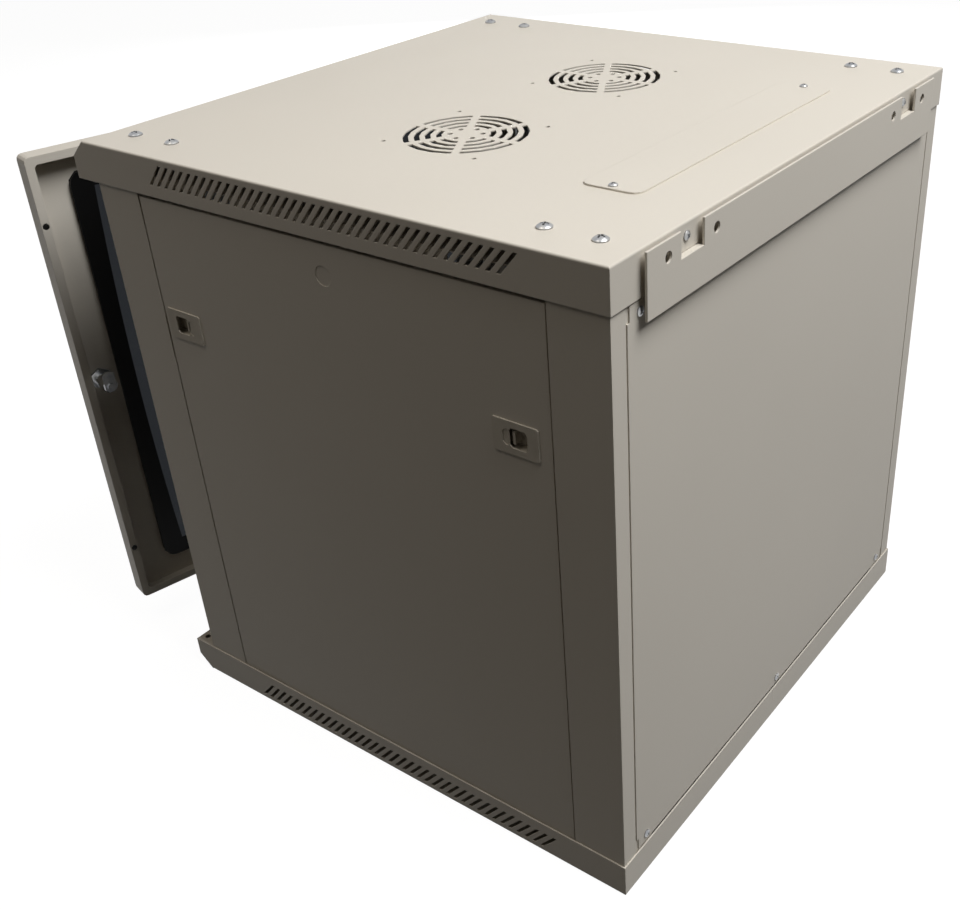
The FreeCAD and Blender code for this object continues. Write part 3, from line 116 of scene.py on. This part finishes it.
class Tree:
    """A node tree, with the one way in which its nodes are made."""

    def __init__(self, nodes_of):
        self.made_in = nodes_of
        for old in list(nodes_of.nodes):
            nodes_of.nodes.remove(old)

    def node(self, kind, settings=None, values=None, output=0):
        """A new node; a list of wires goes to one socket that takes several."""
        made = self.made_in.nodes.new(kind)
        for name, setting in (settings or {}).items():
            setattr(made, name, setting)
        pairs = values.items() if isinstance(values, dict) else enumerate(values or ())
        for key, value in pairs:
            for given in value if isinstance(value, list) else [value]:
                if isinstance(given, Wire):
                    self.made_in.links.new(given.socket, made.inputs[key])
                else:
                    made.inputs[key].default_value = given
        return Wire(self, made.outputs[output]) if made.outputs else made

    def mix(self, first, second, amount):
        """Blends two colours."""
        factor, colour_a, colour_b, colour_result = 0, 6, 7, 2
        return self.node("ShaderNodeMix", {"data_type": "RGBA"},
                         {factor: amount, colour_a: first, colour_b: second}, output=colour_result)

    def noise(self, place, scale, detail=2.0, stretch=None):
        """Soft noise, so many waves to the metre, drawn out along an axis by a small stretch."""
        if stretch:
            place = self.node("ShaderNodeVectorMath", {"operation": "MULTIPLY"}, (place, stretch))
        return self.node("ShaderNodeTexNoise", {}, {"Vector": place, "Scale": scale, "Detail": detail})

    def bump(self, height, depth, strength, under=None):
        """A bump of so many metres, on top of another normal if one is given."""
        values = {"Height": height, "Distance": depth, "Strength": strength}
        if under is not None:
            values["Normal"] = under
        return self.node("ShaderNodeBump", {}, values)

    def place(self):
        return self.node("ShaderNodeTexCoord")["Object"]

    def vector(self, x=0.0, y=0.0, z=0.0):
        return self.node("ShaderNodeCombineXYZ", {}, (x, y, z))

    def principled(self, **values):
        """A principled shader, with its sockets named by underscores for spaces."""
        return self.node("ShaderNodeBsdfPrincipled", {},
                         {key.replace("_", " "): value for key, value in values.items()})


def shade(red, green, blue):
    """A linear colour from its sRGB display values, 0 to 255."""
    linear = [((level / 255 + 0.055) / 1.055) ** 2.4 if level > 10 else level / 255 / 12.92
              for level in (red, green, blue)]
    return (*linear, 1.0)


def scaled(colour, factor):
    """A colour made darker or lighter, white at most."""
    return (*(min(level * factor, 1.0) for level in colour[:3]), 1.0)


def finish(name):
    """A new material and its empty tree."""
    material = bpy.data.materials.new(name)
    material.use_nodes = True
    return material, Tree(material.node_tree)


def show(tree, shader):
    """Makes a shader the surface of its material."""
    tree.node("ShaderNodeOutputMaterial", {}, {"Surface": shader})


# ---------------------------------------------------------------- boxes and meshes

def corners_of(points):
    """The lowest and highest corner of some points."""
    return [Vector([pick(point[axis] for point in points) for axis in (X, Y, Z)])
            for pick in (min, max)]


def in_door(name):
    """The lowest and highest corner of a door piece, along the door's own width, depth and height."""
    to_door = door_axes.inverted()
    return corners_of([to_door @ vertex.co for vertex in nodes[name].data.vertices])


def islands(name):
    """The lowest and highest corner of each loose solid in a CAD node, in the order of their vertices."""
    same_place = 1e-6
    mesh = bmesh.new()
    mesh.from_mesh(nodes[name].data)
    bmesh.ops.remove_doubles(mesh, verts=mesh.verts, dist=same_place)
    waiting = set(mesh.verts)
    found = []
    for first in mesh.verts:
        if first not in waiting:
            continue
        waiting.remove(first)
        reached = [first]
        for vertex in reached:
            fresh = {edge.other_vert(vertex) for edge in vertex.link_edges} & waiting
            waiting -= fresh
            reached += fresh
        found.append(corners_of([vertex.co for vertex in reached]))
    mesh.free()
    return found


# ---------------------------------------------------------------- finishes

# Specular level of what is too finely rough to shine: powder coat, moulded plastic and printed ink.
FAINT_SHINE = 0.12


def powder_coat(name, colour, edge_radius):
    """Textured powder coat on sheet steel, with eased edges and a little dust on what faces up."""
    material, t = finish(name)
    place = t.place()
    cloud = t.noise(place, 3.0)
    patch = t.noise(place, 17.0)
    ripple = t.noise(place, 520.0, 1.0)
    grain = t.noise(place, 1900.0)
    normal = t.node("ShaderNodeNewGeometry")["Normal"]
    facing_up = t.node("ShaderNodeSeparateXYZ", {}, (normal,))["Z"]
    dust = facing_up.above(0.5, 1.0) * patch.above(0.45, 0.8)
    body = t.mix(scaled(colour, 0.985), scaled(colour, 1.012), cloud.above(0.3, 0.7))
    body = t.mix(body, shade(226, 222, 214), dust * 0.03)
    edge = t.node("ShaderNodeBevel", {"samples": 6}, {"Radius": edge_radius})
    show(t, t.principled(
        Base_Color=body, Roughness=0.44 + dust * 0.05 + patch * 0.03, Specular_IOR_Level=FAINT_SHINE,
        Normal=t.bump(ripple * 0.7 + grain * 0.3, depth=0.0001, strength=0.45, under=edge)))
    return material


def bright_zinc(name, colour, tint, roughness):
    """Zinc plate with a faint passivation tint and turning marks."""
    material, t = finish(name)
    place = t.place()
    drift = t.noise(place, 160.0)
    marks = t.noise(place, 2600.0)
    show(t, t.principled(
        Base_Color=t.mix(colour, tint, drift.above(0.35, 0.7)),
        Metallic=1.0, Roughness=roughness + marks * 0.16,
        Normal=t.bump(marks, depth=0.00003, strength=0.4)))
    return material


def polished_chrome(name):
    """Chrome plate with fine upright scratches."""
    material, t = finish(name)
    scratch = t.noise(t.place(), 900.0, 3.0, stretch=(1.0, 1.0, 0.06))
    show(t, t.principled(
        Base_Color=t.mix(shade(205, 207, 210), shade(226, 227, 228), scratch.above(0.3, 0.7)),
        Metallic=1.0, Roughness=0.08 + scratch.above(0.55, 0.8) * 0.2,
        Normal=t.bump(scratch, depth=0.00002, strength=0.3)))
    return material


def moulded_plastic(name, colour, roughness, specular):
    """Moulded plastic with a spark-eroded texture."""
    material, t = finish(name)
    place = t.place()
    grain = t.noise(place, 2400.0)
    cloud = t.noise(place, 60.0)
    show(t, t.principled(
        Base_Color=t.mix(scaled(colour, 0.93), colour, cloud.above(0.25, 0.65)),
        Roughness=roughness + grain * 0.1, Specular_IOR_Level=specular,
        Normal=t.bump(grain, depth=0.00005, strength=0.5)))
    return material


def foam_tape(name):
    """Black foam tape with open cells at its edge."""
    material, t = finish(name)
    cells = t.node("ShaderNodeTexVoronoi", {"feature": "F1"},
                   {"Vector": t.place(), "Scale": 1800.0})["Distance"]
    show(t, t.principled(
        Base_Color=t.mix(shade(14, 14, 14), shade(38, 38, 37), cells.above(0.1, 0.6)),
        Roughness=0.85 + cells * 0.1, Normal=t.bump(cells, depth=0.0001, strength=0.6)))
    return material


def printed_glass(name):
    """Tinted toughened glass with a black printed border, whose inner sides bow a little."""
    border_beside, border_above, bow, blur = 0.0184, 0.0190, 0.12, 0.0004
    printed_depth = 0.0008
    material, t = finish(name)
    local = t.node("ShaderNodeMapping", {"vector_type": "TEXTURE"},
                   {"Vector": t.place(), "Location": hinge_place, "Rotation": (0.0, 0.0, door_turn)})
    axes = t.node("ShaderNodeSeparateXYZ", {}, (local,))
    low, high = in_door("door_glass")
    middle, half = (low + high) / 2, (high - low) / 2
    aside = abs(axes["X"] - middle.x) + axes["Z"] * axes["Z"] * bow
    printed_side = aside.beyond(half.x - border_beside, blur)
    printed_end = abs(axes["Z"]).beyond(half.z - border_above, blur)
    printed = 1 - (1 - printed_side) * (1 - printed_end)
    smear = t.noise(t.place(), 9.0, 3.0, stretch=(1.0, 1.0, 0.5))
    pane = t.principled(Base_Color=shade(40, 42, 45), Roughness=0.015 + smear.above(0.5, 0.8) * 0.05,
                        Transmission_Weight=1.0, IOR=1.5)
    inner_face = axes["Y"].beyond(high.y - printed_depth, blur)
    ink = t.principled(Base_Color=t.mix(shade(3, 3, 3), shade(7, 7, 7), smear),
                       Roughness=0.06 + inner_face * 0.5, Specular_IOR_Level=FAINT_SHINE)
    show(t, t.node("ShaderNodeMixShader", {}, (printed, pane, ink)))
    return material


COAT_COLOUR = shade(214, 208, 197)
coat = powder_coat("powder coat, light grey", COAT_COLOUR, edge_radius=0.0009)
flat_coat = powder_coat("powder coat on flat panels", COAT_COLOUR, edge_radius=0.0004)
zinc = bright_zinc("bright zinc plate", shade(172, 172, 171), shade(150, 152, 156), roughness=0.24)
rail_zinc = bright_zinc("zinc plate on the rack rails", shade(206, 208, 209), shade(188, 191, 197),
                        roughness=0.40)
# Near-black rubber for the plugs and pads: so dark that it also serves as painted shade in the holes they fill.
rubber = moulded_plastic("black rubber", shade(9, 9, 8), roughness=0.7, specular=FAINT_SHINE)
latch_plastic = moulded_plastic("moulded plastic, coat colour", shade(208, 202, 190),
                                roughness=0.5, specular=FAINT_SHINE)
nylon = moulded_plastic("natural nylon", shade(225, 224, 214), roughness=0.4, specular=0.5)

FINISH_OF_SLOT = {
    "coat": coat,
    "zinc": zinc,
    "lock_chrome": polished_chrome("polished chrome"),
    "latch_plastic": latch_plastic,
    "nylon": nylon,
    "tape": foam_tape("black foam tape"),
    "glass": printed_glass("printed door glass"),
}
FINISH_OF_FAMILY = {
    "side_panel": flat_coat, "front_post": flat_coat, "rear_post": flat_coat,
    "front_rack_rail": rail_zinc, "rear_rack_rail": rail_zinc,
}
for part in frame["record"]["subparts"]:
    families = [start for start in FINISH_OF_FAMILY if part["node"].startswith(start)]
    chosen = FINISH_OF_FAMILY[families[0]] if families else FINISH_OF_SLOT[part["material_slot"]]
    slots = nodes[part["node"]].data.materials
    slots.clear()
    slots.append(chosen)


# ---------------------------------------------------------------- small fasteners

SHARP_TURN = math.radians(32.0)
FACES_UP = (0.0, 0.0, 0.0)
FACES_BACK = (-math.pi / 2, 0.0, 0.0)


def eased(mesh):
    """Smooth shading, with an edge kept wherever faces turn sharply."""
    mesh.polygons.foreach_set("use_smooth", [True] * len(mesh.polygons))
    mesh.set_sharp_from_angle(angle=SHARP_TURN)


def applied(name, points, group, sizes):
    """A plain mesh piece from a node group that works on loose points."""
    mesh = bpy.data.meshes.new(name)
    mesh.from_pydata([tuple(point) for point in points], [], [])
    piece = bpy.data.objects.new(name, mesh)
    scene.collection.objects.link(piece)
    modifier = piece.modifiers.new("made by", "NODES")
    modifier.node_group = group
    for item in group.interface.items_tree:
        if item.name in sizes:
            modifier[item.identifier] = sizes[item.name]
    solid = bpy.data.meshes.new_from_object(piece.evaluated_get(bpy.context.evaluated_depsgraph_get()))
    solid.name = name
    piece.modifiers.remove(modifier)
    piece.data = solid
    eased(solid)
    return piece


def new_group(name, inputs):
    """An empty geometry tree with named inputs, its wiring tree, and the wire of its inputs."""
    group = bpy.data.node_groups.new(name, "GeometryNodeTree")
    for title, kind in inputs.items():
        group.interface.new_socket(title, in_out="INPUT", socket_type="NodeSocket" + kind)
    group.interface.new_socket("Result", in_out="OUTPUT", socket_type="NodeSocketGeometry")
    t = Tree(group)
    return group, t, t.node("NodeGroupInput")


def lifted(t, geometry, height):
    """Geometry moved up its own axis."""
    return t.node("GeometryNodeTransform", {}, {"Geometry": geometry, "Translation": t.vector(z=height)})


def boolean(t, operation, meshes):
    return t.node("GeometryNodeMeshBoolean", {"operation": operation, "solver": "EXACT"}, meshes)


def dome(t, width, rise):
    """A low head: a ball's cap, cut by an upright wall."""
    ball_radius = width * 0.72
    wall = t.node("GeometryNodeMeshCylinder", {},
                  {"Vertices": 40, "Radius": width * 0.5, "Depth": rise * 2})
    ball = t.node("GeometryNodeMeshUVSphere", {}, {"Segments": 40, "Rings": 28, "Radius": ball_radius})
    both = [lifted(t, wall, rise), lifted(t, ball, rise - ball_radius)]
    return boolean(t, "INTERSECT", {"Mesh 2": both})


def cross_recess(t, width, rise):
    """The tools that cut a cross recess: two bars and the cone between them."""
    arm, thickness, depth = width * 0.56, width * 0.12, rise * 1.3
    bars = [t.node("GeometryNodeMeshCube", {}, {"Size": t.vector(x, y, depth)})
            for x, y in ((arm, thickness), (thickness, arm))]
    cone = t.node("GeometryNodeMeshCone", {}, {"Vertices": 12, "Radius Top": width * 0.15,
                                               "Radius Bottom": width * 0.04, "Depth": rise * 0.8})
    return [lifted(t, bar, rise) for bar in bars] + [lifted(t, cone, rise * 0.25)]


def domed_head_group(name, cross):
    """A domed head on a shank at each point, with or without a cross recess, turned at random."""
    group, t, given = new_group(name, {
        "Seats": "Geometry", "Head width": "Float", "Head rise": "Float", "Shank width": "Float",
        "Shank length": "Float", "Lean": "Vector", "Seed": "Int", "Finish": "Material"})
    width, rise, length = given["Head width"], given["Head rise"], given["Shank length"]
    head = dome(t, width, rise)
    if cross:
        head = boolean(t, "DIFFERENCE", {"Mesh 1": head, "Mesh 2": cross_recess(t, width, rise)})
    shank = t.node("GeometryNodeMeshCylinder", {},
                   {"Vertices": 20, "Radius": given["Shank width"] * 0.5, "Depth": length})
    screw = t.node("GeometryNodeJoinGeometry", {}, {"Geometry": [head, lifted(t, shank, length * -0.5)]})
    lean = t.node("FunctionNodeEulerToRotation", {}, {"Euler": given["Lean"]})
    placed = t.node("GeometryNodeInstanceOnPoints", {},
                    {"Points": given["Seats"], "Instance": screw, "Rotation": lean})
    least, most, seed, float_result = 2, 3, 8, 1
    quarter_turn = 1.57
    spin = t.node("FunctionNodeRandomValue", {"data_type": "FLOAT"},
                  {least: 0.0, most: quarter_turn, seed: given["Seed"]}, output=float_result)
    turn = t.node("FunctionNodeEulerToRotation", {}, {"Euler": t.vector(z=spin)})
    placed = t.node("GeometryNodeRotateInstances", {},
                    {"Instances": placed, "Rotation": turn, "Local Space": True})
    solid = t.node("GeometryNodeRealizeInstances", {}, {"Geometry": placed})
    done = t.node("GeometryNodeSetMaterial", {}, {"Geometry": solid, "Material": given["Finish"]})
    t.node("NodeGroupOutput", {}, {"Result": done})
    return group


def dress_screws(node, seat, axis, head_width, shank_width, seed):
    """Detailed screws in the places of a CAD node's plain ones; seat is their height along the axis."""
    found = islands(node)
    points = []
    for low, high in found:
        point = (low + high) / 2
        point[axis] = seat
        points.append(point)
    tip, crown = (corner[axis] for corner in found[0])
    sizes = {"Head width": head_width, "Head rise": crown - seat,
             "Shank width": shank_width, "Shank length": seat - tip,
             "Lean": FACES_UP if axis == Z else FACES_BACK, "Seed": seed, "Finish": zinc}
    piece = applied(node + "_cross_recess", points, screw_group, sizes)
    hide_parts(node)
    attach(piece, "root")


def add_plugs(name, seats, head_width, rise, shank_width, shank_length, turn, body):
    """Black rubber plugs that face the back, turned about the upright by an angle; their black is also painted
    shade for the holes they sit in.
    """
    sizes = {"Head width": head_width, "Head rise": rise,
             "Shank width": shank_width, "Shank length": shank_length,
             "Lean": (*FACES_BACK[:Z], turn), "Seed": 1, "Finish": rubber}
    piece = applied(name, seats, plug_group, sizes)
    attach(piece, body)


screw_group = domed_head_group("pan head screws", cross=True)
plug_group = domed_head_group("rubber plugs", cross=False)

COVER_HEAD, COVER_SHANK = 0.0130, 0.0060
SMALL_HEAD, SMALL_SHANK = 0.0080, 0.0040
top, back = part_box("top_cover")[1].z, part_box("top_cover")[1].y
dress_screws("cover_screws", top, Z, COVER_HEAD, COVER_SHANK, seed=3)
dress_screws("entry_plate_screws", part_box("top_entry_plate")[1].z, Z, SMALL_HEAD, SMALL_SHANK, seed=5)
dress_screws("back_panel_screws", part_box("back_panel")[1].y, Y, SMALL_HEAD, SMALL_SHANK, seed=8)
dress_screws("bracket_screws", back, Y, SMALL_HEAD, SMALL_SHANK, seed=2)

# Where the holes of the door's lips lie: in from the door's ends, and in from its long edges.
LIP_HOLE_LEVEL = 0.073
LIP_HOLE_INSET = 0.0045
low, high = in_door("door_frame")
# Black rubber plugs in the holes of the door's lips: blanking plugs, whose near black also stands in as painted
# shade for the dark inside that the open holes show.
add_plugs("lip_plugs",
          [door_axes @ Vector((x, high.y, z))
           for x in (low.x + LIP_HOLE_INSET, high.x - LIP_HOLE_INSET)
           for z in (low.z + LIP_HOLE_LEVEL, high.z - LIP_HOLE_LEVEL)],
          head_width=0.0082, rise=0.0010, shank_width=0.0066, shank_length=0.0025,
          turn=door_turn, body="door")

# How far apart the bracket's inner and outer wall holes are, and how far below the top.
WALL_HOLE_SPACINGS = (0.330, 0.468)
WALL_HOLE_DEPTH = 0.015
# Painted shade: near-black rubber pads behind the bracket's wall holes, a dark sheet put there so that the holes
# look as dark as the shadowed gap behind them.
add_plugs("wall_hole_shade_pads",
          [(side * spacing / 2, back, top - WALL_HOLE_DEPTH)
           for side in (1, -1) for spacing in WALL_HOLE_SPACINGS],
          head_width=0.0260, rise=0.0015, shank_width=0.0060, shank_length=0.0005,
          turn=0.0, body="root")


# ---------------------------------------------------------------- room

WHITE = (1.0, 1.0, 1.0)


def stand_camera():
    """A camera above the rear right corner."""
    lens = bpy.data.cameras.new("camera")
    lens.sensor_width = 36.0
    lens.lens = 45.88
    lens.shift_x = -0.1018
    lens.shift_y = -0.0061
    place = (0.9320, 0.7422, 0.9562)
    right = Vector((-0.5800, 0.8137, -0.0378)).normalized()
    forward = Vector((-0.6861, -0.5130, -0.5158)).normalized()
    up = right.cross(forward).normalized()
    turn = Matrix((forward.cross(up), up, -forward)).transposed().to_4x4()
    camera = bpy.data.objects.new("camera", lens)
    camera.matrix_world = Matrix.Translation(place) @ turn
    scene.collection.objects.link(camera)
    scene.camera = camera


def soft_lamp(name, place, target, size, power, colour=WHITE, mirrored=True):
    """A square lamp that faces a point, with or without its own image in what is glossy."""
    lamp = bpy.data.lights.new(name, "AREA")
    lamp.size = size
    lamp.energy = power
    lamp.color = colour
    item = bpy.data.objects.new(name, lamp)
    item.visible_glossy = mirrored
    item.location = place
    item.rotation_mode = "QUATERNION"
    item.rotation_quaternion = (Vector(target) - Vector(place)).to_track_quat("-Z", "Y")
    scene.collection.objects.link(item)


def seen_directly(t):
    """1 where the camera, a mirror or a pane sees the surface, and 0 where it only gives light."""
    ray = t.node("ShaderNodeLightPath")
    return ray["Is Camera Ray"].or_more(ray["Is Glossy Ray"]).or_more(ray["Is Transmission Ray"])


def pale_floor():
    """A floor that looks pale and keeps the shadow, but throws little light back up."""
    reach = 14.0
    glow_strength = 0.955
    mesh = bpy.data.meshes.new("floor")
    corners = [(-reach, -reach, 0), (reach, -reach, 0), (reach, reach, 0), (-reach, reach, 0)]
    mesh.from_pydata(corners, [], [(0, 1, 2, 3)])
    floor = bpy.data.objects.new("floor", mesh)
    scene.collection.objects.link(floor)
    material, t = finish("pale floor")
    seen = seen_directly(t)
    matt = t.node("ShaderNodeBsdfDiffuse", {},
                  {"Color": t.mix(shade(44, 39, 33), shade(108, 108, 108), seen)})
    glow = t.node("ShaderNodeEmission", {}, {"Color": (*WHITE, 1.0), "Strength": seen * glow_strength})
    show(t, t.node("ShaderNodeAddShader", {}, (matt, glow)))
    mesh.materials.append(material)


def pale_room():
    """Even warm light from all round, seen as white."""
    warm_white = (1.0, 0.90, 0.74, 1.0)
    light_strength, seen_strength = 0.022, 0.94
    world = bpy.data.worlds.new("room")
    scene.world = world
    world.use_nodes = True
    t = Tree(world.node_tree)
    seen = seen_directly(t)
    backdrop = t.node("ShaderNodeBackground", {}, {"Color": t.mix(warm_white, (*WHITE, 1.0), seen),
                                                   "Strength": light_strength + seen * seen_strength})
    t.node("ShaderNodeOutputWorld", {}, {"Surface": backdrop})


stand_camera()
pale_floor()
pale_room()
soft_lamp("key lamp", place=(-0.25, 1.62, 2.98), target=(0.0, 0.1, 0.4), size=1.6, power=92.0)
soft_lamp("upper fill", place=(1.3, -0.5, 3.0), target=(0.2, 0.0, 0.35), size=1.2, power=12.0,
          colour=(1.0, 0.91, 0.80))
soft_lamp("front lamp", place=(-2.7, -2.1, 0.72), target=(0.0, 0.0, 0.32), size=1.1, power=46.0,
          mirrored=False)
